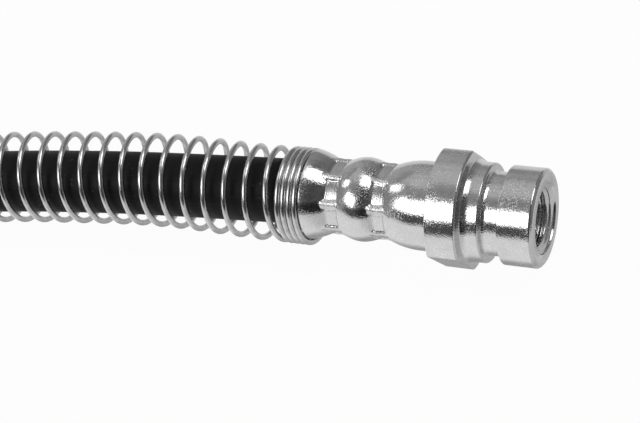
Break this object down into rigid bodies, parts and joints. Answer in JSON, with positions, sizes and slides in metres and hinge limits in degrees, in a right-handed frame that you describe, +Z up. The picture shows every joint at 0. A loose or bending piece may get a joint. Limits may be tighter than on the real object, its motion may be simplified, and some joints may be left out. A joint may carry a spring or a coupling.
{
  "type": "brake hose",
  "caption": "Flexible hydraulic brake hose in an open wire spring guard, with crimped steel female fittings that carry a flatted round collar and a clip groove.",
  "frame": {"origin": "middle of the hose's footprint, on the surface that it lies on", "axes": "+Z up from the surface, +X out of the near fitting's port; the far fitting's port opens along -Y"},
  "size_m": [0.1916, 0.1518, 0.0202],
  "materials": {
    "plated_steel": "bright zinc plate with a fine grain",
    "spring_wire": "bright drawn wire",
    "hose_rubber": "smooth satin black"
  },
  "bodies": {
    "root": {"near_fitting": "plated_steel", "far_fitting": "plated_steel", "near_insert": "plated_steel", "far_insert": "plated_steel", "hose": "hose_rubber", "spring_guard": "spring_wire"}
  },
  "joints": []
}
